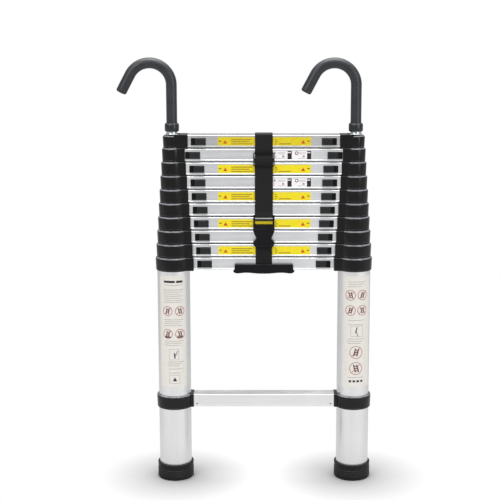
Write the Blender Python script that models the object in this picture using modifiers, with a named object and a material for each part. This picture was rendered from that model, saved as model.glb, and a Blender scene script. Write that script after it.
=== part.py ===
"""A telescoping ladder, closed: ten nested tubes a side, eleven rungs, two hooks and a strap.

Metres, +Z up. The origin is the centre of the left foot's sole. +X runs along the rungs to
the right foot, and -Y is the front, where the release buttons are. Section 1 is the outermost
tube of each stile and stands on the floor. Rung 1 is clamped low down on it, and rung n + 1
is carried by the collars at the top of section n.
"""
import math

import bmesh
import bpy
from mathutils import Matrix, Vector

# The ladder
STILE_SPACING = 0.383
SECTION_COUNT = 10
RUNG_SPACING = 0.300        # from tread to tread, drawn out
STACK_PITCH = 0.0288        # from tread to tread, closed
FIRST_TREAD = 0.1868
GAP = 0.0003                # between pieces that touch
SEGMENTS = 20               # around every nested tube, so that their facets line up

# Tubes
OUTER_RADIUS = 0.0345
RADIUS_STEP = 0.00205
WALL = 0.0015
TUBE_REACH = 0.36           # length of a sliding tube below its collar

# Rungs
RUNG_DEPTH = 0.0324
RUNG_HEIGHT = 0.0263
RUNG_WALL = 0.0015
RUNG_EDGE = 0.0022
POCKET = 0.004              # how far a rung's end goes into its collar

# Collars
COLLAR_HEIGHT = 0.0284
COLLAR_WALL = 0.00325
SHOULDER = 0.0025
COLLAR_TAPER = 0.0008
COLLAR_LIP = 0.003          # top lip of the fixed collars, over the tube's end
BLOCK_REACH = 0.0095        # from the tube to the inner face of its rung block
TOP_BLOCK_REACH = 0.0177
BLOCK_RATIO = 0.69          # half depth of a rung block over its collar's radius
BLOCK_LEAST = 0.0178
BLOCK_TRIM = 0.0003         # the block is this much lower than its collar at each end
TOP_STEP = 0.0032           # how far the top collar is cut down round the hook's socket

# Clamp collars of the bottom rung
CLAMP_HEIGHT = 0.0292
CLAMP_WALL = 0.0043
CLAMP_REACH = 0.0067

# Feet
FOOT_RADIUS = 0.039
FOOT_HEIGHT = 0.0347
FOOT_FLOOR = 0.006
FOOT_ROUND = 0.004
FOOT_LIP = 0.0015
FOOT_DRAFT = 0.0005         # how much narrower the foot is near its top

# Latches, measured inwards from the block's inner face
LATCH_TRAVEL = 0.0065
SKIRT_START = 0.007
SKIRT_LENGTH = 0.031
SKIRT_HEIGHT = 0.0148
SKIRT_THICKNESS = 0.0014
SKIRT_DROP = 0.0008         # below the rung's mid-height
GRIP_INSET = 0.009
GRIP_LENGTH = 0.0205
GRIP_HEIGHT = 0.0106
GRIP_THICKNESS = 0.0028
NECK_INSET = 0.0085
NECK_LENGTH = 0.014
NECK_HEIGHT = 0.006
CARRIAGE_START = 0.010
CARRIAGE_LENGTH = 0.020
CARRIAGE_HEIGHT = 0.016
CARRIAGE_BACK = 0.005
PIN_RADIUS = 0.003
PIN_TIP = -0.00475
PIN_BORE_RADIUS = 0.0035
LOCK_HOLE_RADIUS = 0.0045
PUSHED_OUT_RUNG = 10        # the rung whose latches rest pushed out

# Hooks, measured up from the top collar
HOOK_TUBE = 0.0113
HOOK_RADIUS = 0.0453
HOOK_CENTRE = 0.1015
HOOK_TURN = math.radians(152)
HOOK_TAIL = 0.042
HOOK_PLUG = 0.014
PLUG_LENGTH = 0.030
FLANGE_RADIUS = 0.0165
FLANGE_HEIGHT = 0.003
SOCKET_TOP = 0.0075
FERRULE_RADIUS = 0.015
FERRULE_TOP = 0.026
FERRULE_EDGE = 0.0025

# Strap
WEB_WIDTH = 0.0375
LOWER_WEB_WIDTH = 0.0345
WEB_THICKNESS = 0.0016
WEB_GAP = 0.0008
WEB_CORNER = 0.0025
SLIDER_SIZE = (0.044, 0.005, 0.032)
SLIDER_HEIGHT = 0.695
BUCKLE_WIDTH = 0.0445
BUCKLE_THICKNESS = 0.009
BUCKLE_BOTTOM = 0.511
BUCKLE_SPLIT = 0.5485
BUCKLE_TOP = 0.5775
TONGUE_SIZE = (0.024, 0.004, 0.018)
HANDLE_HEIGHT = 0.4636
HANDLE_THICKNESS = 0.0045
HANDLE_OUTLINE = ((0.061, 0.010), (0.0625, -0.002), (0.065, -0.0035), (0.062, -0.0085), (0.056, -0.0095),
                  (0.042, -0.0082), (0.028, -0.0086), (0.014, -0.0096), (0.0, -0.0100))
HANDLE_FLOOR = 0.003

SIDES = (("left", 0.0, 1.0), ("right", STILE_SPACING, -1.0))

FIRST_STACKED = FIRST_TREAD + RUNG_SPACING
HALF_COLLAR = COLLAR_HEIGHT / 2
BLOCK_HEIGHT = COLLAR_HEIGHT - 2 * BLOCK_TRIM
RUNG_FRONT = RUNG_DEPTH / 2


def clear_scene():
    for item in list(bpy.data.objects):
        bpy.data.objects.remove(item, do_unlink=True)


def new_collection(name):
    collection = bpy.data.collections.new(name)
    bpy.context.scene.collection.children.link(collection)
    return collection


def new_material(name, colour, roughness, metallic=0.0):
    material = bpy.data.materials.new(name)
    material.use_nodes = True
    shader = material.node_tree.nodes["Principled BSDF"]
    shader.inputs["Base Color"].default_value = (*colour, 1.0)
    shader.inputs["Roughness"].default_value = roughness
    shader.inputs["Metallic"].default_value = metallic
    return material


clear_scene()
LADDER = new_collection("telescoping_ladder")
CUTTERS = new_collection("ladder_cutters")
BARE_ALUMINIUM = new_material("bare_aluminium", (0.78, 0.79, 0.80), 0.32, 1.0)
SATIN_ALUMINIUM = new_material("satin_aluminium", (0.80, 0.80, 0.82), 0.38, 1.0)
BLACK_NYLON = new_material("black_nylon", (0.015, 0.016, 0.017), 0.35)
BLACK_BUTTON = new_material("black_button", (0.02, 0.022, 0.024), 0.45)
BLACK_RUBBER = new_material("black_rubber", (0.018, 0.018, 0.018), 0.7)
COATED_TUBE = new_material("coated_tube", (0.045, 0.048, 0.054), 0.42)
WEBBING = new_material("webbing", (0.016, 0.016, 0.018), 0.85)
ACETAL = new_material("acetal", (0.014, 0.014, 0.016), 0.4)


def tread(rung):
    """Height of a rung's top face, closed."""
    if rung == 1:
        return FIRST_TREAD
    return FIRST_STACKED + (rung - 2) * STACK_PITCH


def middle(rung):
    return tread(rung) - RUNG_HEIGHT / 2


def tube_radius(section):
    return OUTER_RADIUS - (section - 1) * RADIUS_STEP


def block_face(section):
    """Distance from a stile's axis to the inner face of the block that holds the rung."""
    if section == SECTION_COUNT:
        return tube_radius(section) + TOP_BLOCK_REACH
    return tube_radius(section) + BLOCK_REACH


def empty(name, location, parent=None):
    item = bpy.data.objects.new(name, None)
    item.location = location
    item.parent = parent
    LADDER.objects.link(item)
    return item


def add_piece(name, mesh, location, parent, material):
    item = bpy.data.objects.new(name, mesh)
    item.location = location
    item.parent = parent
    if material is None:
        CUTTERS.objects.link(item)
        item.hide_render = True
        item.display_type = "WIRE"
    else:
        LADDER.objects.link(item)
        mesh.materials.append(material)
    return item


def finish_mesh(name, shape, smooth=False):
    mesh = bpy.data.meshes.new(name)
    shape.to_mesh(mesh)
    shape.free()
    if smooth:
        mesh.shade_smooth()
        mesh.set_sharp_from_angle(angle=math.radians(35))
    return mesh


def box(name, low, high, parent, material=None, origin=(0.0, 0.0, 0.0)):
    """A box between two corners, which are given from its origin."""
    spans = [abs(b - a) for a, b in zip(low, high)]
    centre = [(a + b) / 2 for a, b in zip(low, high)]
    shape = bmesh.new()
    bmesh.ops.create_cube(shape, size=1.0, matrix=Matrix.Translation(centre) @ Matrix.Diagonal((*spans, 1.0)))
    return add_piece(name, finish_mesh(name, shape), origin, parent, material)


def rod(name, radius, start, end, parent, segments=SEGMENTS):
    """A round cutter between two points that differ along one axis."""
    run = Vector(end) - Vector(start)
    turn = Vector((0.0, 0.0, 1.0)).rotation_difference(run).to_matrix().to_4x4()
    centre = (Vector(start) + Vector(end)) / 2
    shape = bmesh.new()
    bmesh.ops.create_cone(shape, cap_ends=True, segments=segments, radius1=radius, radius2=radius,
                          depth=run.length, matrix=Matrix.Translation(centre) @ turn)
    return add_piece(name, finish_mesh(name, shape), (0.0, 0.0, 0.0), parent, None)


def turned(name, profile, location, parent, material, closed=False, segments=SEGMENTS):
    """A profile of (radius, height) points, top to bottom down the outside, turned about Z."""
    mesh = bpy.data.meshes.new(name)
    last = len(profile) - 1
    edges = [(i, i + 1) for i in range(last)]
    if closed:
        edges.append((last, 0))
    mesh.from_pydata([(radius, 0.0, height) for radius, height in profile], edges, [])
    item = add_piece(name, mesh, location, parent, material)
    screw = item.modifiers.new("turn", "SCREW")
    screw.axis = "Z"
    screw.steps = segments
    screw.render_steps = segments
    screw.use_merge_vertices = True
    screw.merge_threshold = 0.00001
    screw.use_smooth_shade = True
    return item


def combine(item, other, operation):
    step = item.modifiers.new(other.name, "BOOLEAN")
    step.operation = operation
    step.solver = "EXACT"
    step.object = other


def join(item, other):
    combine(item, other, "UNION")


def cut(item, other):
    combine(item, other, "DIFFERENCE")


def curve_mesh(name, curve, turn):
    """The closed or open mesh that a curve makes, with its caps welded on."""
    guide = bpy.data.objects.new(name, curve)
    guide.rotation_euler = turn
    CUTTERS.objects.link(guide)
    bpy.context.view_layer.update()
    mesh = bpy.data.meshes.new_from_object(guide.evaluated_get(bpy.context.evaluated_depsgraph_get()))
    mesh.transform(guide.matrix_world)
    bpy.data.objects.remove(guide, do_unlink=True)
    shape = bmesh.new()
    shape.from_mesh(mesh)
    bmesh.ops.remove_doubles(shape, verts=shape.verts, dist=0.00001)
    bpy.data.meshes.remove(mesh)
    return finish_mesh(name, shape, smooth=True)


def line_curve(name, points, closed=False, dimensions="3D"):
    curve = bpy.data.curves.new(name, "CURVE")
    curve.dimensions = dimensions
    spline = curve.splines.new("POLY")
    spline.points.add(len(points) - 1)
    for target, point in zip(spline.points, points):
        target.co = (*point, 1.0)
    spline.use_cyclic_u = closed
    return curve


def collar_profile(radius, half_height):
    """Outer side of a collar that is solid to its axis, down to its lower edge."""
    return [(0.0, half_height), (radius - SHOULDER, half_height), (radius, half_height - SHOULDER),
            (radius - COLLAR_TAPER, -half_height)]


def add_rung_block(item, name, side_x, inward, face, half_depth, height, parent):
    """Joins on the block that a rung's end sits in, which reaches from the stile's axis to face."""
    half = height / 2
    join(item, box(name + "_block", (0.0, -half_depth, -half), (inward * face, half_depth, half), parent,
                   origin=(side_x, 0.0, 0.0)))


def cut_rung_pocket(item, name, side_x, inward, face, parent):
    half_depth = RUNG_FRONT + GAP
    half_height = RUNG_HEIGHT / 2 + GAP
    cut(item, box(name + "_pocket", (inward * (face - POCKET), -half_depth, -half_height),
                  (inward * (face + POCKET), half_depth, half_height), parent, origin=(side_x, 0.0, 0.0)))


def pin_bore(name, side_x, inward, face, parent, height=0.0):
    return rod(name + "_pin_bore", PIN_BORE_RADIUS, (side_x, 0.0, height),
               (side_x + inward * face, 0.0, height), parent, segments=8)


def block_half_depth(collar_radius):
    return max(BLOCK_LEAST, BLOCK_RATIO * collar_radius)


def add_foot(side, side_x, parent):
    inner = OUTER_RADIUS + GAP
    cut_in = FOOT_ROUND * (1 - math.sqrt(0.5))
    profile = [(0.0, FOOT_FLOOR), (inner, FOOT_FLOOR), (inner, FOOT_HEIGHT), (FOOT_RADIUS - FOOT_LIP, FOOT_HEIGHT),
               (FOOT_RADIUS - FOOT_DRAFT, FOOT_HEIGHT - FOOT_LIP), (FOOT_RADIUS, FOOT_ROUND),
               (FOOT_RADIUS - cut_in, cut_in), (FOOT_RADIUS - FOOT_ROUND, 0.0), (0.0, 0.0)]
    return turned("foot_" + side, profile, (side_x, 0.0, 0.0), parent, BLACK_RUBBER)


def add_base_tube(side, side_x, inward, parent):
    name = "base_tube_" + side
    top = middle(2) + HALF_COLLAR - COLLAR_LIP - GAP
    bottom = FOOT_FLOOR + GAP
    inner = OUTER_RADIUS - WALL
    profile = [(inner, top), (OUTER_RADIUS, top), (OUTER_RADIUS, bottom), (inner, bottom)]
    tube = turned(name, profile, (side_x, 0.0, 0.0), parent, BARE_ALUMINIUM, closed=True)
    cut(tube, pin_bore(name, side_x, inward, block_face(1), parent, height=middle(2)))
    return tube


def add_base_collar(side, side_x, inward, parent):
    """The fixed collar on the outermost tube, which its lip covers, built about rung 2."""
    name = "base_collar_" + side
    radius = OUTER_RADIUS + COLLAR_WALL
    face = block_face(1)
    collar = turned(name, collar_profile(radius, HALF_COLLAR) + [(0.0, -HALF_COLLAR)],
                    (side_x, 0.0, 0.0), parent, BLACK_NYLON)
    add_rung_block(collar, name, side_x, inward, face, block_half_depth(radius), BLOCK_HEIGHT, parent)
    cut(collar, rod(name + "_bore", OUTER_RADIUS - WALL, (side_x, 0.0, 0.0), (side_x, 0.0, COLLAR_HEIGHT), parent))
    cut(collar, rod(name + "_seat", OUTER_RADIUS + GAP, (side_x, 0.0, -COLLAR_HEIGHT),
                    (side_x, 0.0, HALF_COLLAR - COLLAR_LIP), parent))
    cut_rung_pocket(collar, name, side_x, inward, face, parent)
    cut(collar, pin_bore(name, side_x, inward, face, parent))
    return collar


def add_clamp_collar(side, side_x, inward, parent):
    """The clamp that holds the bottom rung on the outermost tube."""
    name = "clamp_collar_" + side
    radius = OUTER_RADIUS + CLAMP_WALL
    face = OUTER_RADIUS + CLAMP_REACH
    half = CLAMP_HEIGHT / 2
    clamp = turned(name, collar_profile(radius, half) + [(0.0, -half)], (side_x, 0.0, 0.0), parent, BLACK_NYLON)
    add_rung_block(clamp, name, side_x, inward, face, BLOCK_LEAST, CLAMP_HEIGHT - 2 * BLOCK_TRIM, parent)
    cut(clamp, rod(name + "_bore", OUTER_RADIUS + GAP, (side_x, 0.0, -CLAMP_HEIGHT), (side_x, 0.0, CLAMP_HEIGHT),
                   parent))
    cut_rung_pocket(clamp, name, side_x, inward, face, parent)
    return clamp


def add_sliding_stile(section, side, side_x, inward, parent):
    """A sliding tube and the collar moulded on its top, built about the rung that it carries."""
    name = "stile_%02d_%s" % (section, side)
    tube = tube_radius(section)
    radius = tube + COLLAR_WALL
    face = block_face(section)
    bottom = -HALF_COLLAR - TUBE_REACH
    profile = collar_profile(radius, HALF_COLLAR) + [(tube, -HALF_COLLAR), (tube, bottom), (0.0, bottom)]
    stile = turned(name, profile, (side_x, 0.0, 0.0), parent, BLACK_NYLON)
    add_rung_block(stile, name, side_x, inward, face, block_half_depth(radius), BLOCK_HEIGHT, parent)
    cut(stile, rod(name + "_bore", tube - WALL, (side_x, 0.0, bottom - WALL), (side_x, 0.0, COLLAR_HEIGHT), parent))
    cut_rung_pocket(stile, name, side_x, inward, face, parent)
    if section < SECTION_COUNT:
        cut(stile, pin_bore(name, side_x, inward, face, parent))
    cut(stile, rod(name + "_lock_hole", LOCK_HOLE_RADIUS, (side_x, 0.0, -RUNG_SPACING),
                   (side_x + inward * face, 0.0, -RUNG_SPACING), parent, segments=8))
    if section == SECTION_COUNT:
        cut(stile, rod(name + "_step", radius + GAP, (side_x, 0.0, HALF_COLLAR - TOP_STEP),
                       (side_x, 0.0, COLLAR_HEIGHT), parent))
    return stile


def add_rung(number, face, parent, slotted):
    """A hollow rung between two collars, with a slot in its front for each latch's neck."""
    name = "rung_%02d" % number
    half_length = STILE_SPACING / 2 - face + POCKET - GAP
    half_depth = RUNG_DEPTH / 2
    half_height = RUNG_HEIGHT / 2
    shape = bmesh.new()
    bmesh.ops.create_cube(shape, size=1.0,
                          matrix=Matrix.Diagonal((2 * half_length, RUNG_DEPTH, RUNG_HEIGHT, 1.0)))
    long_edges = [edge for edge in shape.edges if abs(edge.verts[0].co.x - edge.verts[1].co.x) > half_length]
    bmesh.ops.bevel(shape, geom=long_edges, offset=RUNG_EDGE, segments=1, affect="EDGES")
    rung = add_piece(name, finish_mesh(name, shape), (STILE_SPACING / 2, 0.0, 0.0), parent, SATIN_ALUMINIUM)
    inner_depth = half_depth - RUNG_WALL
    inner_height = half_height - RUNG_WALL
    cut(rung, box(name + "_hollow", (-half_length - WALL, -inner_depth, -inner_height),
                  (half_length + WALL, inner_depth, inner_height), parent,
                  origin=(STILE_SPACING / 2, 0.0, 0.0)))
    if not slotted:
        return rung
    start = face + SKIRT_START - LATCH_TRAVEL + NECK_INSET - 2 * GAP
    end = face + SKIRT_START + NECK_INSET + NECK_LENGTH + 2 * GAP
    half_slot = NECK_HEIGHT / 2 + 2 * GAP
    for side, side_x, inward in SIDES:
        cut(rung, box(name + "_slot_" + side, (inward * start, -RUNG_DEPTH, -half_slot),
                      (inward * end, -RUNG_DEPTH / 4, half_slot), parent, origin=(side_x, 0.0, 0.0)))
    return rung


def add_latch(number, side, side_x, inward, face, parent):
    """Thumb button, its carriage inside the rung, and the lock pin, as one sliding piece."""
    name = "latch_%02d_%s" % (number, side)
    shift = -LATCH_TRAVEL if number == PUSHED_OUT_RUNG else 0.0
    origin = (side_x + inward * (face + shift), 0.0, 0.0)
    skirt_back = -RUNG_FRONT - GAP
    skirt_front = skirt_back - SKIRT_THICKNESS
    inside = -RUNG_FRONT + RUNG_WALL + GAP

    def slab(part, start, length, near, far, half_height, drop=0.0, material=None):
        return box(name + part, (inward * start, near, -half_height - drop),
                   (inward * (start + length), far, half_height - drop), parent, material, origin)

    latch = slab("", SKIRT_START, SKIRT_LENGTH, skirt_front, skirt_back, SKIRT_HEIGHT / 2, SKIRT_DROP,
                 BLACK_BUTTON)
    join(latch, slab("_grip", SKIRT_START + GRIP_INSET, GRIP_LENGTH, skirt_front - GRIP_THICKNESS,
                     skirt_front + GAP, GRIP_HEIGHT / 2, SKIRT_DROP))
    join(latch, slab("_carriage", CARRIAGE_START, CARRIAGE_LENGTH, inside, CARRIAGE_BACK, CARRIAGE_HEIGHT / 2))
    join(latch, slab("_neck", SKIRT_START + NECK_INSET, NECK_LENGTH, skirt_back - GAP, inside + WALL,
                     NECK_HEIGHT / 2))
    pin = rod(name + "_pin", PIN_RADIUS, (origin[0] + inward * PIN_TIP, 0.0, 0.0),
              (origin[0] + inward * (CARRIAGE_START + PIN_RADIUS), 0.0, 0.0), parent, segments=8)
    join(latch, pin)
    return latch


def hook_path(base):
    """Centre line of a hook: straight up from base, round the bend and down the tail."""
    centre = HALF_COLLAR + HOOK_CENTRE
    points = [(0.0, 0.0, base)]
    steps = 11
    for step in range(steps + 1):
        turn = HOOK_TURN * step / steps
        points.append((HOOK_RADIUS * (math.cos(turn) - 1), 0.0, centre + HOOK_RADIUS * math.sin(turn)))
    end_x, _, end_z = points[-1]
    points.append((end_x - HOOK_TAIL * math.sin(HOOK_TURN), 0.0, end_z + HOOK_TAIL * math.cos(HOOK_TURN)))
    return points


def add_hook(side, side_x, parent):
    name = "hook_" + side
    seat = HALF_COLLAR - TOP_STEP + GAP
    path = line_curve(name, hook_path(seat + SOCKET_TOP + GAP))
    path.bevel_depth = HOOK_TUBE
    path.bevel_resolution = 4
    path.use_fill_caps = True
    hook = add_piece(name, curve_mesh(name, path, (0.0, 0.0, 0.0)), (side_x, 0.0, 0.0), parent, COATED_TUBE)
    neck = FERRULE_RADIUS - FERRULE_EDGE
    profile = [(0.0, seat + FERRULE_TOP), (neck, seat + FERRULE_TOP),
               (FERRULE_RADIUS, seat + FERRULE_TOP - FERRULE_EDGE), (FERRULE_RADIUS, seat + SOCKET_TOP + FERRULE_EDGE),
               (neck, seat + SOCKET_TOP), (FLANGE_RADIUS, seat + FLANGE_HEIGHT),
               (FLANGE_RADIUS, seat), (HOOK_PLUG, seat), (HOOK_PLUG, seat - PLUG_LENGTH),
               (0.0, seat - PLUG_LENGTH)]
    join(hook, turned(name + "_fitting", profile, (side_x, 0.0, 0.0), parent, None, segments=16))
    return hook


def add_strap(parent):
    """Webbing over the top rung, down to the buckle in front and to the handle behind."""
    front = RUNG_FRONT + WEB_GAP
    top = RUNG_HEIGHT / 2 + WEB_GAP
    level = middle(SECTION_COUNT + 1)
    front_end = BUCKLE_TOP + GAP - level
    rear_end = tread(2) - RUNG_HEIGHT - level
    line = [(-front, front_end), (-front, top - WEB_CORNER), (-front + WEB_CORNER, top),
            (front - WEB_CORNER, top), (front, top - WEB_CORNER), (front, rear_end)]
    curve = line_curve("strap", [(y, z, 0.0) for y, z in line], dimensions="2D")
    curve.extrude = WEB_WIDTH / 2
    curve.fill_mode = "NONE"
    mesh = curve_mesh("strap", curve, (math.radians(90), 0.0, math.radians(90)))
    strap = add_piece("strap", mesh, (STILE_SPACING / 2, 0.0, 0.0), parent, WEBBING)
    thick = strap.modifiers.new("thickness", "SOLIDIFY")
    thick.thickness = WEB_THICKNESS
    thick.offset = 1.0
    thick.use_even_offset = True
    wide, deep, high = SLIDER_SIZE
    low_z = SLIDER_HEIGHT - level - high / 2
    join(strap, box("strap_slider", (-wide / 2, -front + GAP - deep, low_z), (wide / 2, -front + GAP, low_z + high),
                    parent, origin=(STILE_SPACING / 2, 0.0, 0.0)))
    return strap


def add_buckle_male(parent):
    """The upper half of the buckle, with the tongue that goes down into the lower half."""
    level = middle(SECTION_COUNT + 1)
    back = -RUNG_FRONT - 2 * GAP
    wide = BUCKLE_WIDTH / 2
    middle_y = back - BUCKLE_THICKNESS / 2
    tongue_wide, tongue_deep, tongue_long = TONGUE_SIZE
    half = box("buckle_male", (-wide, back - BUCKLE_THICKNESS, BUCKLE_SPLIT + GAP - level),
               (wide, back, BUCKLE_TOP - level), parent, ACETAL, (STILE_SPACING / 2, 0.0, 0.0))
    join(half, box("buckle_tongue", (-tongue_wide / 2, middle_y - tongue_deep / 2, BUCKLE_SPLIT - tongue_long - level),
                   (tongue_wide / 2, middle_y + tongue_deep / 2, BUCKLE_SPLIT + WEB_THICKNESS - level), parent,
                   origin=(STILE_SPACING / 2, 0.0, 0.0)))
    return half


def add_strap_handle(parent):
    """The carrying handle, the short webbing above it and the lower half of the buckle."""
    middle_x = STILE_SPACING / 2
    origin = (middle_x, 0.0, 0.0)
    back = -RUNG_FRONT - 2 * GAP
    points = [(x, z, 0.0) for x, z in HANDLE_OUTLINE]
    points += [(-x, z, 0.0) for x, z in reversed(HANDLE_OUTLINE[:-1])]
    outline = line_curve("strap_handle", points, closed=True, dimensions="2D")
    outline.fill_mode = "BOTH"
    outline.extrude = HANDLE_THICKNESS / 2
    mesh = curve_mesh("strap_handle", outline, (math.radians(90), 0.0, 0.0))
    handle = add_piece("strap_handle", mesh, (middle_x, back - HANDLE_THICKNESS / 2, HANDLE_HEIGHT), parent, ACETAL)
    wide = LOWER_WEB_WIDTH / 2
    join(handle, box("handle_web", (-wide, back - WEB_THICKNESS - GAP, HANDLE_HEIGHT),
                     (wide, back - GAP, BUCKLE_BOTTOM + WEB_THICKNESS), parent, origin=origin))
    rung_bottom = tread(2) - RUNG_HEIGHT
    floor_top = rung_bottom - 2 * GAP
    rear = RUNG_FRONT + WEB_GAP + WEB_THICKNESS + 2 * GAP
    join(handle, box("handle_floor", (-wide, back - WEB_THICKNESS, floor_top - HANDLE_FLOOR),
                     (wide, rear + WEB_THICKNESS, floor_top), parent, origin=origin))
    join(handle, box("handle_rear", (-wide, rear, floor_top - WEB_THICKNESS),
                     (wide, rear + WEB_THICKNESS + GAP, tread(2)), parent, origin=origin))
    half = BUCKLE_WIDTH / 2
    join(handle, box("buckle_body", (-half, back - BUCKLE_THICKNESS, BUCKLE_BOTTOM), (half, back, BUCKLE_SPLIT),
                     parent, origin=origin))
    middle_y = back - BUCKLE_THICKNESS / 2
    tongue_wide, tongue_deep, tongue_long = (size / 2 + 2 * GAP for size in TONGUE_SIZE)
    cut(handle, box("buckle_socket", (-tongue_wide, middle_y - tongue_deep, BUCKLE_SPLIT - 2 * tongue_long),
                    (tongue_wide, middle_y + tongue_deep, BUCKLE_SPLIT + tongue_long), parent, origin=origin))
    return handle


def build_base():
    """Section 1: everything that stays on the floor."""
    base = empty("base_section", (0.0, 0.0, 0.0))
    first_rung_level = empty("rung_01_level", (0.0, 0.0, middle(1)), base)
    stack_level = empty("rung_02_level", (0.0, 0.0, middle(2)), base)
    for side, side_x, inward in SIDES:
        add_foot(side, side_x, base)
        add_base_tube(side, side_x, inward, base)
        add_clamp_collar(side, side_x, inward, first_rung_level)
        add_base_collar(side, side_x, inward, stack_level)
        add_latch(2, side, side_x, inward, block_face(1), stack_level)
    add_rung(1, OUTER_RADIUS + CLAMP_REACH, first_rung_level, slotted=False)
    add_rung(2, block_face(1), stack_level, slotted=True)
    add_strap_handle(base)
    return base


def build_sliding_sections(base):
    """Sections 2 to 10, each parented to the one that it slides in."""
    parent = base
    rise = middle(3)
    for section in range(2, SECTION_COUNT + 1):
        parent = empty("section_%02d" % section, (0.0, 0.0, rise), parent)
        rise = STACK_PITCH
        rung = section + 1
        for side, side_x, inward in SIDES:
            add_sliding_stile(section, side, side_x, inward, parent)
            if section < SECTION_COUNT:
                add_latch(rung, side, side_x, inward, block_face(section), parent)
        add_rung(rung, block_face(section), parent, slotted=section < SECTION_COUNT)
    return parent


def build():
    base = build_base()
    top = build_sliding_sections(base)
    for side, side_x, _ in SIDES:
        add_hook(side, side_x, top)
    add_strap(top)
    add_buckle_male(top)


build()
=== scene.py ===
"""The looks of the telescoping ladder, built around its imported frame.

Metres, in the frame's own axes: the origin is the left foot's sole, +X runs to the right foot
and -Y is the front. Section 1 is the outermost tube of each stile, rung 1 is the clamped one
at the bottom, and section n carries rung n + 1.
"""
import math

import bmesh
import bpy
from mathutils import Matrix, Vector


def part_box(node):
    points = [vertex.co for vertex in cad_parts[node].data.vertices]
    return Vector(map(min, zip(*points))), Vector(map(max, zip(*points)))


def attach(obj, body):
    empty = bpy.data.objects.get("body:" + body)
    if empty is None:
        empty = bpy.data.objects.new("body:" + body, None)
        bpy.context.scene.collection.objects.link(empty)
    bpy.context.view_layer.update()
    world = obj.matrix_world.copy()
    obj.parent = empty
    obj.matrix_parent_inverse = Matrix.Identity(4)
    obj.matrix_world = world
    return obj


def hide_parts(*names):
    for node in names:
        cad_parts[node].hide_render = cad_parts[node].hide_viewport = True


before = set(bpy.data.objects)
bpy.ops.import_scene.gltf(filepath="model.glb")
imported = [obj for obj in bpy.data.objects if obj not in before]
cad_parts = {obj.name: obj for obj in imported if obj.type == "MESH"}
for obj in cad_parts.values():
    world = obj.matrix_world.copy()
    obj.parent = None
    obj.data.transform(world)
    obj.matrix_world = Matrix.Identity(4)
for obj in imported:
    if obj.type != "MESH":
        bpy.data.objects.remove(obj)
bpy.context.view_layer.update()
MM = 0.001


# ---------------------------------------------------------------- places, read from the frame

def low(node):
    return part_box(node)[0]


def high(node):
    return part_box(node)[1]


def centre(node):
    return (low(node) + high(node)) / 2


SECTION_COUNT = 10
RUNG_COUNT = 11
SIDES = ("left", "right")
INWARD = {"left": 1.0, "right": -1.0}
AXIS_X = {side: centre("foot_" + side).x for side in SIDES}
MIDDLE_X = (AXIS_X["left"] + AXIS_X["right"]) / 2
RUNG_HALF_DEPTH = high("rung_01").y
RUNG_HALF_HEIGHT = (high("rung_01").z - low("rung_01").z) / 2
COLLAR_HALF = (high("base_collar_left").z - low("base_collar_left").z) / 2
TUBE_WALL = 1.5 * MM
COLLAR_WALL = 3.25 * MM
COLLAR_LIP = 3.0 * MM
POCKET = 4.0 * MM
TOP_STEP = 3.2 * MM         # how far the top collar is cut down round the hook's socket
GAP = 0.3 * MM
PIN_HOLE = 3.5 * MM


def body_of_section(section):
    return "base_section" if section == 1 else "section_%02d" % section


def body_of_rung(rung):
    return "base_section" if rung == 1 else body_of_section(rung - 1)


def stile_node(section, side):
    return "base_collar_" + side if section == 1 else "stile_%02d_%s" % (section, side)


def collar_radius(section):
    return high(stile_node(section, "left")).y


def tube_radius(section):
    return collar_radius(section) - COLLAR_WALL


def rung_level(rung):
    return centre("rung_%02d" % rung).z


def block_face(rung):
    """Distance from a stile's axis to the inner face of the block that holds this rung."""
    return low("rung_%02d" % rung).x - AXIS_X["left"] + POCKET - GAP


# ---------------------------------------------------------------- materials

def colour_socket(sockets, name):
    return next(socket for socket in sockets if socket.name == name and socket.type == "RGBA")


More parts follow.
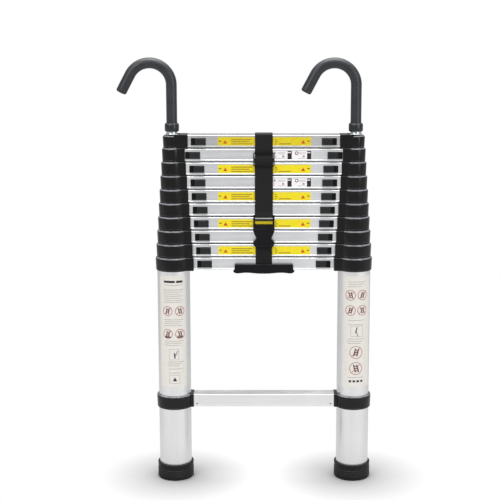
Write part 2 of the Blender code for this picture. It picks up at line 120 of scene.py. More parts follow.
class Nodes:
    """The node tree of a new material or world, with shorthands for wiring it."""

    def __init__(self, name, kind="materials"):
        self.owner = getattr(bpy.data, kind).new(name)
        self.owner.use_nodes = True
        self.tree = self.owner.node_tree
        self.shader = self.tree.nodes.get("Principled BSDF")
        self.coordinates = self.add("ShaderNodeTexCoord").outputs["Object"]

    def add(self, kind, *values, **settings):
        """A new node with these settings and, from its first input on, these values."""
        node = self.tree.nodes.new(kind)
        for key, setting in settings.items():
            setattr(node, key, setting)
        self.wire_all(node, *values)
        return node

    def wire(self, value, socket):
        """Gives a socket a number, a vector, a colour (as a tuple) or another node's output."""
        if isinstance(value, tuple):
            socket.default_value = (*value, 1.0)
        elif isinstance(value, (int, float, Vector)):
            socket.default_value = value
        else:
            self.tree.links.new(value, socket)

    def wire_all(self, node, *values):
        for value, socket in zip(values, node.inputs):
            self.wire(value, socket)

    def stretched(self, x, y, z):
        mapping = self.add("ShaderNodeMapping", self.coordinates)
        self.wire(Vector((x, y, z)), mapping.inputs["Scale"])
        return mapping.outputs["Vector"]

    def noise(self, scale, detail, stretch=(1.0, 1.0, 1.0)):
        texture = self.add("ShaderNodeTexNoise", self.stretched(*stretch))
        self.wire(scale, texture.inputs["Scale"])
        self.wire(detail, texture.inputs["Detail"])
        return texture.outputs["Fac"]

    def wave(self, pitch, direction):
        """Bands of one pitch in metres along an axis, from 0 to 1."""
        turns = 0.1 * math.pi if direction != "DIAGONAL" else 0.2 * math.pi
        texture = self.add("ShaderNodeTexWave", self.coordinates, turns / pitch, wave_type="BANDS",
                           bands_direction=direction)
        return texture.outputs["Fac"]

    def maths(self, operation, first, second):
        return self.add("ShaderNodeMath", first, second, operation=operation).outputs[0]

    def vectors(self, operation, output, *values):
        return self.add("ShaderNodeVectorMath", *values, operation=operation).outputs[output]

    def spread(self, value, least, most, near=0.3, far=0.7):
        """From least to most, as value runs from near to far."""
        return self.add("ShaderNodeMapRange", value, near, far, least, most).outputs["Result"]

    def blend(self, value, first, second, near=0.3, far=0.7):
        """Colour from first to second, as value runs from near to far."""
        node = self.add("ShaderNodeMix", data_type="RGBA")
        self.wire(self.spread(value, 0.0, 1.0, near, far), node.inputs["Factor"])
        self.wire(first, colour_socket(node.inputs, "A"))
        self.wire(second, colour_socket(node.inputs, "B"))
        return colour_socket(node.outputs, "Result")

    def along(self, axis, vector):
        return self.add("ShaderNodeSeparateXYZ", vector).outputs[axis]

    def normal(self):
        return self.add("ShaderNodeNewGeometry").outputs["Normal"]

    def upward(self):
        """How far up the surface faces, from -1 to 1."""
        return self.along("Z", self.normal())

    def roundness(self):
        """1 where the surface is turned about the object's own upright axis, less elsewhere."""
        outward = self.vectors("NORMALIZE", "Vector", self.stretched(1.0, 1.0, 0.0))
        level, up = self.vectors("DOT_PRODUCT", "Value", outward, self.normal()), self.upward()
        return self.maths("ADD", self.maths("MULTIPLY", level, level), self.maths("MULTIPLY", up, up))

    def bump(self, height, distance, strength):
        node = self.add("ShaderNodeBump", strength, distance)
        self.wire(height, node.inputs["Height"])
        self.wire(node.outputs["Normal"], self.shader.inputs["Normal"])

    def finished(self, colour, roughness, metallic=0.0, specular=0.5):
        """The material, once its shader has all that it needs."""
        for name, value in (("Base Color", colour), ("Roughness", roughness), ("Metallic", metallic),
                            ("Specular IOR Level", specular)):
            self.wire(value, self.shader.inputs[name])
        return self.owner

    def seen_by_camera(self):
        return self.add("ShaderNodeLightPath").outputs["Is Camera Ray"]

    def mix_surface(self, factor, first, second):
        mixed = self.add("ShaderNodeMixShader", factor, first.outputs[0], second.outputs[0])
        output = next(node for node in self.tree.nodes if node.name.endswith("Output"))
        self.wire(mixed.outputs[0], output.inputs["Surface"])


def shade(colour, factor):
    return tuple(min(1.0, channel * factor) for channel in colour)


def brushed_metal(name, colour, roughness, along, tread=1.0):
    """Drawn or extruded metal: hair lines along one axis, cloudy marks, and upward faces toned by tread, which
    paints shade on them when below 1.
    """
    nodes = Nodes(name)
    across, lengthwise = 420.0, 5.0
    lines = nodes.noise(1.0, 4.0, [lengthwise if axis == along else across for axis in "XYZ"])
    clouds = nodes.noise(14.0, 3.0)
    mixed = nodes.maths("ADD", nodes.maths("MULTIPLY", lines, 0.55), nodes.maths("MULTIPLY", clouds, 0.45))
    plain = nodes.blend(mixed, shade(colour, 0.93), shade(colour, 1.05))
    # The colour of upward faces, scaled by tread: painted shade on the tops.
    shaded_top = nodes.blend(mixed, shade(colour, 0.88 * tread), shade(colour, 1.08 * tread))
    nodes.bump(lines, 0.03 * MM, 0.6)
    return nodes.finished(nodes.blend(nodes.upward(), plain, shaded_top, 0.45, 0.90),
                          nodes.spread(mixed, roughness - 0.07, roughness + 0.09), metallic=1.0)


def moulded(name, colour, roughness, grain, depth, gloss, shoulder_highlight):
    """Moulded plastic or rubber: fine grain, patches of rubbing, and a painted highlight that lightens round
    upper edges.
    """
    nodes = Nodes(name)
    patches = nodes.noise(38.0, 4.0)
    upward = nodes.upward()
    # These masks pick upward-tilted round shoulders, broken up by noise, where the colour is lifted as a
    # painted highlight.
    rounded = nodes.maths("MULTIPLY", nodes.spread(upward, 0.0, 1.0, 0.30, 0.62),
                          nodes.spread(upward, 1.0, 0.0, 0.90, 0.99))
    broken_highlight = nodes.maths("MULTIPLY", rounded, nodes.spread(nodes.noise(160.0, 3.0), 0.35, 1.0))
    edge = nodes.maths("MULTIPLY", broken_highlight, nodes.spread(nodes.roundness(), 0.0, 1.0, 0.86, 0.97))
    body = nodes.blend(patches, colour, shade(colour, 1.45))
    nodes.bump(nodes.noise(grain, 2.0), depth * MM, 0.7)
    return nodes.finished(nodes.blend(edge, body, shade(colour, shoulder_highlight), 0.0, 1.0),
                          nodes.spread(patches, roughness + 0.06, roughness - 0.07), specular=gloss)


def thumbed(name, colour, highlit_rub_colour):
    """Button plastic: matt and dark low down, lighter and smoother on its raised faces, partly as rubbing and
    partly as a painted highlight.
    """
    nodes = Nodes(name)
    low_y, raised_y = -18.4 * MM, -20.2 * MM
    # Lighter towards the raised front faces, broken up by noise: rubbing and a painted highlight.
    raised = nodes.spread(nodes.along("Y", nodes.coordinates), 1.0, 0.0, raised_y, low_y)
    highlit_rub_mask = nodes.maths("MULTIPLY", raised, nodes.spread(nodes.noise(240.0, 3.0), 0.7, 1.0))
    nodes.bump(nodes.noise(1500.0, 2.0), 0.02 * MM, 0.6)
    return nodes.finished(nodes.blend(highlit_rub_mask, colour, highlit_rub_colour, 0.0, 1.0),
                          nodes.spread(highlit_rub_mask, 0.55, 0.27, 0.0, 1.0), specular=0.14)


def powder_coat(name, colour, roughness):
    """Powder-coated steel: orange peel over a faint mottle."""
    nodes = Nodes(name)
    mottle = nodes.noise(60.0, 4.0)
    nodes.bump(nodes.noise(900.0, 3.0), 0.02 * MM, 0.6)
    return nodes.finished(nodes.blend(mottle, shade(colour, 0.85), shade(colour, 1.2)),
                          nodes.spread(mottle, roughness - 0.05, roughness + 0.07), specular=0.4)


def polished(name, colour, roughness):
    nodes = Nodes(name)
    haze = nodes.noise(120.0, 4.0)
    return nodes.finished(nodes.blend(haze, shade(colour, 0.94), colour),
                          nodes.spread(haze, roughness, roughness + 0.08), metallic=1.0)


def woven(name, colour):
    """Flat webbing: ribs across its width and a diagonal float of the warp threads."""
    nodes = Nodes(name)
    warp = nodes.wave(1.5 * MM, "X")
    twill = nodes.wave(2.1 * MM, "DIAGONAL")
    threads = nodes.maths("MULTIPLY", warp, nodes.maths("ADD", nodes.maths("MULTIPLY", twill, 0.6), 0.4))
    fluff = nodes.noise(700.0, 3.0)
    height = nodes.maths("ADD", threads, nodes.maths("MULTIPLY", fluff, 0.35))
    nodes.bump(height, 0.22 * MM, 0.8)
    nodes.wire(0.08, nodes.shader.inputs["Sheen Weight"])
    nodes.wire(0.5, nodes.shader.inputs["Sheen Roughness"])
    return nodes.finished(nodes.blend(height, shade(colour, 0.6), shade(colour, 1.5)), 0.82, specular=0.2)


def printed(name, colour):
    """Printed vinyl: a faint mottle of the ink and a soft, uneven gloss."""
    nodes = Nodes(name)
    mottle = nodes.noise(220.0, 4.0)
    nodes.bump(nodes.noise(90.0, 2.0), 0.02 * MM, 0.5)
    return nodes.finished(nodes.blend(mottle, shade(colour, 0.94), shade(colour, 1.03)),
                          nodes.spread(mottle, 0.28, 0.42))


OUTER_TUBE = brushed_metal("outer_tube_aluminium", (0.80, 0.80, 0.80), 0.38, "Z")
INNER_TUBE = brushed_metal("inner_tube_aluminium", (0.87, 0.88, 0.89), 0.30, "Z")
# tread below 1 darkens a rung's upward faces: painted shade.
EXTRUSION = brushed_metal("rung_aluminium", (0.86, 0.87, 0.885), 0.34, "X", tread=0.80)
# The top rung's aluminium: a darker copy of the rung aluminium, with a darker top, as painted shade.
SHADED_TOP_EXTRUSION = brushed_metal("shaded_top_rung_aluminium", (0.66, 0.66, 0.66), 0.34, "X", tread=0.45)
CLAMPED_EXTRUSION = brushed_metal("clamped_rung_aluminium", (0.80, 0.80, 0.80), 0.36, "X", tread=0.88)
# The last number of each moulded material lifts the colour of its upward round shoulders: a painted highlight.
NYLON = moulded("collar_nylon", (0.0036, 0.0036, 0.0040), 0.22, 1300.0, 0.008, 0.26, 70.0)
BUTTON = thumbed("button_plastic", (0.0030, 0.0030, 0.0032), (0.030, 0.0305, 0.0315))
RUBBER = moulded("foot_rubber", (0.0060, 0.0060, 0.0060), 0.50, 900.0, 0.04, 0.22, 3.0)
ACETAL = moulded("buckle_acetal", (0.0030, 0.0031, 0.0042), 0.30, 1700.0, 0.012, 0.20, 8.0)
COATED = powder_coat("hook_coating", (0.022, 0.0245, 0.028), 0.30)
FERRULE = moulded("ferrule_plastic", (0.010, 0.011, 0.0125), 0.26, 1100.0, 0.02, 0.45, 6.0)
CHROME = polished("chrome", (0.58, 0.61, 0.61), 0.12)
STEEL = polished("pin_steel", (0.62, 0.62, 0.63), 0.22)
WEBBING = woven("webbing", (0.0085, 0.0085, 0.0095))
YELLOW = printed("yellow_print", (0.75, 0.62, 0.005))
# The top rung's label: a darker copy of the yellow print as painted shade.
SHADED_TOP_YELLOW = printed("shaded_top_yellow_print", (0.63, 0.505, 0.003))
CREAM = printed("cream_label", (0.66, 0.635, 0.595))
WHITE = printed("white_label", (0.80, 0.765, 0.775))
OCHRE_INK = printed("ochre_ink", (0.33, 0.22, 0.008))
ORANGE_INK = printed("orange_ink", (0.50, 0.065, 0.006))
RED_INK = printed("red_ink", (0.34, 0.09, 0.08))
GREY_INK = printed("grey_ink", (0.30, 0.29, 0.27))
BROWN_INK = printed("brown_ink", (0.090, 0.024, 0.024))
BLACK_INK = printed("black_ink", (0.008, 0.008, 0.008))


# ---------------------------------------------------------------- shapes

ROUND = 72                  # sides of a stile's round parts


def smooth(mesh):
    mesh.shade_smooth()
    mesh.set_sharp_from_angle(angle=math.radians(35))


def new_piece(name, shape, location=(0.0, 0.0, 0.0)):
    """An object from a bmesh, with its normals outward and its round faces smooth."""
    bmesh.ops.recalc_face_normals(shape, faces=shape.faces)
    mesh = bpy.data.meshes.new(name)
    shape.to_mesh(mesh)
    shape.free()
    smooth(mesh)
    piece = bpy.data.objects.new(name, mesh)
    piece.location = location
    bpy.context.scene.collection.objects.link(piece)
    return piece


def copy_piece(piece, name, side, location):
    """A copy of a piece drawn for the left stile, mirrored if it goes to the right one."""
    twin = piece.copy()
    twin.data = piece.data.copy()
    twin.name = twin.data.name = name
    twin.location = location
    if side == "right":
        twin.data.transform(Matrix.Diagonal((-1.0, 1.0, 1.0, 1.0)))
        twin.data.flip_normals()
    bpy.context.scene.collection.objects.link(twin)
    return twin


def skin(rings, looped=False):
    """A surface through rings of points, all with the same number of points, closed at its ends."""
    shape = bmesh.new()
    made = [[shape.verts.new(point) for point in ring] for ring in rings]
    count = len(rings[0])
    pairs = list(zip(made, made[1:]))
    if looped:
        pairs.append((made[-1], made[0]))
    for first, second in pairs:
        for i in range(count):
            j = (i + 1) % count
            shape.faces.new((first[i], first[j], second[j], second[i]))
    if not looped:
        shape.faces.new(made[0])
        shape.faces.new(reversed(made[-1]))
    return shape


def turns_of(count):
    return [2 * math.pi * i / count for i in range(count)]


def turned(profile, segments=ROUND, looped=False):
    """A turned shape from (radius, height) points; looped joins the last point to the first.

    A point on the axis adds nothing, because a flat face closes each end.
    """
    return skin([[(radius * math.cos(turn), radius * math.sin(turn), height) for turn in turns_of(segments)]
                 for radius, height in profile if radius], looped)


def arc(centre_r, centre_z, radius, start, end, steps=6):
    """(radius, height) points of a round stretch, its angles in degrees."""
    turns = (math.radians(start + (end - start) * i / steps) for i in range(steps + 1))
    return [(centre_r + radius * math.cos(turn), centre_z + radius * math.sin(turn)) for turn in turns]


def slab(corner, opposite, radius=0.0, segments=3):
    """A box between two opposite corners, with every edge rounded."""
    spans = [abs(b - a) for a, b in zip(corner, opposite)]
    middle = [(a + b) / 2 for a, b in zip(corner, opposite)]
    shape = bmesh.new()
    bmesh.ops.create_cube(shape, size=1.0, matrix=Matrix.Translation(middle) @ Matrix.Diagonal((*spans, 1.0)))
    if radius:
        bmesh.ops.bevel(shape, geom=shape.edges[:], offset=radius, segments=segments, affect="EDGES",
                        profile=0.5)
    return shape


def cylinder(radius, start, end, segments):
    run = Vector(end) - Vector(start)
    turn = Vector((0.0, 0.0, 1.0)).rotation_difference(run).to_matrix().to_4x4()
    shape = bmesh.new()
    bmesh.ops.create_cone(shape, cap_ends=True, segments=segments, radius1=radius, radius2=radius,
                          depth=run.length, matrix=Matrix.Translation((Vector(start) + Vector(end)) / 2) @ turn)
    return shape


def settle(piece):
    """Leaves what the piece's modifiers make as its own mesh."""
    bpy.context.view_layer.update()
    graph = bpy.context.evaluated_depsgraph_get()
    mesh = bpy.data.meshes.new_from_object(piece.evaluated_get(graph))
    piece.modifiers.clear()
    piece.data = mesh
    smooth(mesh)


def combine(piece, shape, operation):
    """Joins a shape to a piece, or cuts it away; the shape is placed from the piece's own origin."""
    other = new_piece("helper", shape, piece.location)
    step = piece.modifiers.new("combine", "BOOLEAN")
    step.operation = operation
    step.solver = "EXACT"
    step.object = other
    settle(piece)
    bpy.data.objects.remove(other, do_unlink=True)


def join(piece, shape):
    combine(piece, shape, "UNION")


def cut(piece, shape):
    combine(piece, shape, "DIFFERENCE")


def plate(name, outline, thickness, edge, location, holes=()):
    """A flat (x, z) outline given a thickness along Y, with its edges rounded."""
    shape = skin([[(x, -thickness / 2, z) for x, z in outline], [(x, thickness / 2, z) for x, z in outline]])
    piece = new_piece("plate", shape)
    for low_x, low_z, high_x, high_z in holes:
        cut(piece, slab((low_x, -thickness, low_z), (high_x, thickness, high_z)))
    rounding = piece.modifiers.new("edge", "BEVEL")
    rounding.width = edge
    rounding.segments = 3
    rounding.limit_method = "ANGLE"
    rounding.angle_limit = math.radians(50)
    settle(piece)
    piece.name = piece.data.name = name
    piece.location = location
    return piece


def place(piece, material, body, slot, *nodes):
    """Gives a finished piece its material and its body, and hides the nodes it stands for; the slot argument is
    not used.
    """
    piece.data.materials.clear()
    piece.data.materials.append(material)
    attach(piece, body)
    if nodes:
        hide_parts(*nodes)


# ---------------------------------------------------------------- stiles and collars

BLOCK_HALF_DEPTH = 17.8 * MM
TUBE_FIT = 0.05 * MM        # round a tube, inside what it stands in


def block_half_depth(section):
    return max(BLOCK_HALF_DEPTH, 0.69 * collar_radius(section))


def collar_outline(radius, top, half):
    """Outer side of a collar, top to bottom: round shoulder, draft, a fine parting line, round foot."""
    shoulder = min(4.4 * MM, radius - tube_radius(SECTION_COUNT))
    foot = 0.9 * MM
    line = 0.12 * MM
    draft = 0.8 * MM
    level = -half + 3.2 * MM
    side = radius - draft * (half - level) / (2 * half)
    return (arc(radius - shoulder, top - shoulder, shoulder, 90, 0, 8)
            + [(side, level + line), (side - line, level), (side, level - line)]
            + arc(radius - draft - foot, -half + foot, foot, 0, -90, 4))


def collar_body(name, side, radius, top, half, rung, half_depth):
    """A turned collar with the block that holds a rung, and the pocket for the rung's end."""
    piece = new_piece(name, turned(collar_outline(radius, top, half)),
                      (AXIS_X[side], 0.0, rung_level(rung)))
    inward, face = INWARD[side], block_face(rung)
    block = half - GAP
    join(piece, slab((inward * 3.7 * MM, -half_depth, -block), (inward * face, half_depth, block), 1.4 * MM))
    deep, tall = RUNG_HALF_DEPTH + GAP, RUNG_HALF_HEIGHT + GAP
    cut(piece, slab((inward * (face - POCKET), -deep, -tall), (inward * (face + POCKET), deep, tall)))
    return piece


def build_collar(section, side):
    """A moulded collar with its rung block, over the end of its own tube."""
    radius, tube = collar_radius(section), tube_radius(section)
    half = COLLAR_HALF
    top = half - TOP_STEP if section == SECTION_COUNT else half
    piece = collar_body("collar_%02d_%s" % (section, side), side, radius, top, half, section + 1,
                        block_half_depth(section))
    if section == SECTION_COUNT:
        cut(piece, cylinder(radius + GAP, (0, 0, top + 0.05 * MM), (0, 0, 1.5 * half), 60))
    cut(piece, cylinder(tube - TUBE_WALL, (0, 0, 0), (0, 0, 2 * half), ROUND))
    cut(piece, cylinder(tube + TUBE_FIT, (0, 0, -2 * half), (0, 0, half - COLLAR_LIP), ROUND))
    if section < SECTION_COUNT:
        cut(piece, cylinder(PIN_HOLE, (0, 0, 0), (INWARD[side] * 2 * block_face(section + 1), 0, 0), 24))
    if section == 1:
        rib, thick = -radius + 0.3 * MM, 0.7 * MM
        join(piece, slab((-thick, rib, -half + 1.5 * MM), (thick, rib + 2.4 * MM, 1.0 * MM), 0.4 * MM, 2))
    place(piece, NYLON, body_of_section(section), "black_nylon", stile_node(section, side))


def build_tube(section, side):
    """A drawn tube, open at both ends, with the holes that the lock pins enter."""
    radius = tube_radius(section)
    level = rung_level(section + 1)
    top = COLLAR_HALF - COLLAR_LIP - 0.1 * MM
    bottom = (low("base_tube_left").z if section == 1 else low(stile_node(section, side)).z) - level
    edge = 0.35 * MM
    inner = radius - TUBE_WALL
    profile = [(inner + edge, top), (radius - edge, top), (radius, top - edge), (radius, bottom + edge),
               (radius - edge, bottom), (inner + edge, bottom), (inner, bottom + edge), (inner, top - edge)]
    piece = new_piece("tube_%02d_%s" % (section, side), turned(profile, looped=True),
                      (AXIS_X[side], 0.0, level))
    reach = INWARD[side] * 2 * radius
    if section > 1:
        cut(piece, cylinder(4.5 * MM, (0, 0, -0.3), (reach, 0, -0.3), 32))
    if section < SECTION_COUNT:
        cut(piece, cylinder(PIN_HOLE, (0, 0, 0), (reach, 0, 0), 24))
    node = "base_tube_" + side if section == 1 else stile_node(section, side)
    place(piece, OUTER_TUBE if section == 1 else INNER_TUBE, body_of_section(section), "bare_aluminium", node)


def build_clamp(side):
    """The clamp of the bottom rung, with its two socket screws behind."""
    node = "clamp_collar_" + side
    radius = high(node).y
    half = (high(node).z - low(node).z) / 2
    piece = collar_body("clamp_" + side, side, radius, half, half, 1, BLOCK_HALF_DEPTH)
    cut(piece, cylinder(tube_radius(1) + TUBE_FIT, (0, 0, -2 * half), (0, 0, 2 * half), ROUND))
    head = 3.4 * MM
    for which, turn in (("a", -14.6), ("b", 14.6)):
        out = Vector((math.sin(math.radians(turn)), math.cos(math.radians(turn)), 0.0))
        cut(piece, cylinder(head + 0.3 * MM, out * (radius - 2.6 * MM), out * (radius + 5 * MM), 32))
        screw = new_piece("clamp_screw_%s_%s" % (side, which),
                          cylinder(head, out * (radius - 2.7 * MM), out * (radius - 0.9 * MM), 32),
                          piece.location)
        cut(screw, cylinder(1.7 * MM, out * (radius - 1.9 * MM), out * (radius + 5 * MM), 6))
        place(screw, STEEL, "base_section", "bright_metal")
    place(piece, NYLON, "base_section", "black_nylon", node)


def build_foot(side):
    """The rubber foot: a thick cup with a rolled rim, a grip band and grooves round its sole."""
    node = "foot_" + side
    radius = high(node).y
    height = high(node).z
    bore = tube_radius(1) + TUBE_FIT
    floor = low("base_tube_left").z - 0.1 * MM
    rim, toe = 1.7 * MM, 4.0 * MM
    ridge, valley = radius - 0.3 * MM, radius - 0.9 * MM
    profile = [(0.0, floor), (bore, floor), (bore, height - 0.8 * MM)]
    profile += arc(ridge - rim, height - rim, rim, 120, 0)
    profile += [(radius - 0.7 * MM, height - 4.0 * MM), (valley, height * 0.62)]
    for step in range(4):
        level = height * (0.60 - 0.11 * step)
        profile += [(ridge, level), (ridge, level - 1.9 * MM), (valley, level - 2.3 * MM),
                    (valley, level - 3.2 * MM)]
    profile += arc(radius - toe, toe, toe, 0, -90)
    for step in range(3):
        groove = radius - (9 + 8 * step) * MM
        profile += [(groove + 1.5 * MM, 0.0), (groove + 1.0 * MM, 1.2 * MM), (groove - 1.0 * MM, 1.2 * MM),
                    (groove - 1.5 * MM, 0.0)]
    profile.append((0.0, 0.0))
    piece = new_piece("rubber_foot_" + side, turned(profile), (AXIS_X[side], 0.0, 0.0))
    place(piece, RUBBER, "base_section", "rubber_foot", node)


# ---------------------------------------------------------------- rungs and latches

SLOT_START = 8.4 * MM       # the latch slots, measured inwards from a rung block's inner face
SLOT_END = 30.1 * MM
SLOT_HALF = 3.6 * MM
REAR_RIB = 12.4 * MM        # front face of the rib that closes the gap to the rung above
PANEL_SINK = 0.35 * MM      # how deep the panel in a stacked rung's front lies


def rung_outline(corner, sink):
    """Closed (y, z) outline of a rung: ribbed tread, round corners, a panel sunk in each face."""
    deep, tall = RUNG_HALF_DEPTH, RUNG_HALF_HEIGHT
    upper, lower = tall - 3.9 * MM, -tall + 3.4 * MM
    ribs, groove, slope = 9, 0.35 * MM, 0.05 * MM
    first = deep - corner - 1.2 * MM
    pitch = 2 * first / ribs
    points = []
    for i in range(ribs):
        start = first - pitch * i
        end = start - 0.32 * pitch
        points += [(start, tall), (start - slope, tall - groove), (end + slope, tall - groove), (end, tall)]
    points += [(-y, z) for y, z in arc(deep - corner, tall - corner, corner, 90, 0, 5)]
    points += [(-deep, upper + sink), (-deep + sink, upper), (-deep + sink, lower), (-deep, lower - sink)]
    points += [(-y, z) for y, z in arc(deep - corner, -tall + corner, corner, 0, -90, 5)]
    points += arc(deep - corner, -tall + corner, corner, -90, 0, 5)
    points += [(deep, lower - sink), (deep - sink, lower), (deep - sink, upper), (deep, upper + sink)]
    return points + arc(deep - corner, tall - corner, corner, 0, 90, 5)


def build_rung(number):
    """An extruded rung: with latch slots and a rear rib in the stack, with two dimples when clamped."""
    node = "rung_%02d" % number
    half = (high(node).x - low(node).x) / 2
    deep, tall, wall = RUNG_HALF_DEPTH, RUNG_HALF_HEIGHT, 1.6 * MM
    outline = rung_outline(0.9 * MM, 0.05 * MM) if number == 1 else rung_outline(2.2 * MM, PANEL_SINK)
    piece = new_piece("tread_%02d" % number, skin([[(x, y, z) for y, z in outline] for x in (-half, half)]),
                      (MIDDLE_X, 0.0, rung_level(number)))
    cut(piece, slab((-half - wall, -deep + wall, -tall + wall), (half + wall, deep - wall, tall - wall)))
    if 1 < number < RUNG_COUNT:
        block = half - POCKET + GAP
        for side in (-1.0, 1.0):
            cut(piece, slab((side * (block - SLOT_END), -2 * deep, -SLOT_HALF),
                            (side * (block - SLOT_START), -deep / 4, SLOT_HALF)))
        reach = half - POCKET - MM
        join(piece, slab((-reach, REAR_RIB, tall - wall / 2), (reach, REAR_RIB + wall, tall + 2.0 * MM),
                         0.3 * MM, 1))
    if number == 1:
        for side in (-1.0, 1.0):
            x, z = side * (half - POCKET - 6.5 * MM), -7.4 * MM
            cut(piece, cylinder(1.5 * MM, (x, -2 * deep, z), (x, -deep / 2, z), 24))
    # The top rung takes the darker copy of the aluminium: painted shade.
    material = {1: CLAMPED_EXTRUSION, RUNG_COUNT: SHADED_TOP_EXTRUSION}.get(number, EXTRUSION)
    place(piece, material, body_of_rung(number), "satin_aluminium", node)


LATCH_SKIRT = 7.0 * MM      # from the block's inner face to the button, pushed in
SKIRT_LENGTH = 31.0 * MM
BUTTON_DROP = 0.8 * MM      # how far below the pin the button's middle lies
PIN_TIP = -4.75 * MM
PIN_REACH = 14.0 * MM
PIN_RADIUS = 3.0 * MM


def latch_button(name):
    """The thumb button, its neck and the carriage inside the rung, drawn for the left stile."""
    def part(start, end, front, back, half_height, *rounding, drop=BUTTON_DROP):
        return slab((start, front, -half_height - drop), (end, back, half_height - drop), *rounding)

    front = -RUNG_HALF_DEPTH - GAP
    start, end = LATCH_SKIRT, LATCH_SKIRT + SKIRT_LENGTH
    face = front - 1.4 * MM
    piece = new_piece(name, part(start, end, face, front, 7.4 * MM, 0.6 * MM))
    join(piece, part(start + 9.0 * MM, end - 1.0 * MM, face - 2.8 * MM, face + GAP, 6.3 * MM, 0.9 * MM))
    cut(piece, part(start + 11.0 * MM, end - 2.6 * MM, face - 4.0 * MM, face - 2.1 * MM, 4.7 * MM, 0.5 * MM, 2))
    for step in range(6):
        rib = start + (13.2 + 2.7 * step) * MM
        join(piece, part(rib - 0.5 * MM, rib + 0.5 * MM, face - 2.65 * MM, face - 1.9 * MM, 4.4 * MM,
                         0.25 * MM, 1))
    cut(piece, part(start + 1.6 * MM, start + 7.4 * MM, face - 1.0 * MM, face + 0.5 * MM, 5.6 * MM,
                    0.2 * MM, 1))
    inside = -RUNG_HALF_DEPTH + 1.9 * MM
    join(piece, part(start + 8.5 * MM, start + 22.5 * MM, front - 0.2 * MM, inside + 1.0 * MM, 3.0 * MM,
                     drop=0.0))
    join(piece, part(10.0 * MM, 30.0 * MM, inside, 5.0 * MM, 8.0 * MM, 0.8 * MM, 2, drop=0.0))
    cut(piece, cylinder(PIN_RADIUS + 0.02 * MM, (5.0 * MM, 0, 0), (PIN_REACH, 0, 0), 24))
    return piece


def latch_pin(name):
    """The steel lock pin with its bevelled nose, drawn for the left stile."""
    nose = 0.8 * MM
    end = PIN_REACH - 0.1 * MM
    profile = [(PIN_RADIUS - nose, PIN_TIP), (PIN_RADIUS, PIN_TIP + nose), (PIN_RADIUS, end)]
    piece = new_piece(name, turned(profile, 32))
    piece.data.transform(Matrix.Rotation(math.radians(90), 4, "Y"))
    return piece


def build_latches():
    """Two latches on every stacked rung but the top one, which has two blind buttons."""
    button, pin = latch_button("button_model"), latch_pin("pin_model")
    for rung in range(2, RUNG_COUNT):
        for side in SIDES:
            node = "latch_%02d_%s" % (rung, side)
            edge = low(node).x if side == "left" else high(node).x
            origin = (edge - INWARD[side] * PIN_TIP, 0.0, rung_level(rung))
            name = "%02d_%s" % (rung, side)
            place(copy_piece(button, "button_" + name, side, origin), BUTTON, node, "button", node)
            place(copy_piece(pin, "lock_pin_" + name, side, origin), STEEL, node, "bright_metal")
    for side in SIDES:
        edge = AXIS_X[side] + INWARD[side] * (block_face(RUNG_COUNT) - 0.6 * MM)
        blind = copy_piece(button, "blind_button_" + side, side, (edge, 0.0, rung_level(RUNG_COUNT)))
        cut(blind, slab((-0.1, -RUNG_HALF_DEPTH + 0.1 * MM, -0.02), (0.1, 0.02, 0.02)))
        place(blind, BUTTON, body_of_rung(RUNG_COUNT), "button")
    for model in (button, pin):
        bpy.data.objects.remove(model, do_unlink=True)


# ---------------------------------------------------------------- hooks

HOOK_TUBE = 11.3 * MM
HOOK_RADIUS = 45.3 * MM
HOOK_TURN = math.radians(152)
HOOK_TAIL = 42.0 * MM
HOOK_DOME = 4.0 * MM        # how far the closed end bulges
HOOK_SEAT = rung_level(RUNG_COUNT) + COLLAR_HALF - TOP_STEP + GAP


def swept(path, radii):
    """A round bar along points of the XZ plane, with one radius for each point."""
    rings = []
    side = Vector((0.0, 1.0, 0.0))
    for i, point in enumerate(path):
        before, after = path[max(i - 1, 0)], path[min(i + 1, len(path) - 1)]
        other = (Vector(after) - Vector(before)).normalized().cross(side)
        rings.append([tuple(Vector(point) + radii[i] * (math.cos(turn) * side + math.sin(turn) * other))
                      for turn in turns_of(40)])
    return skin(rings)


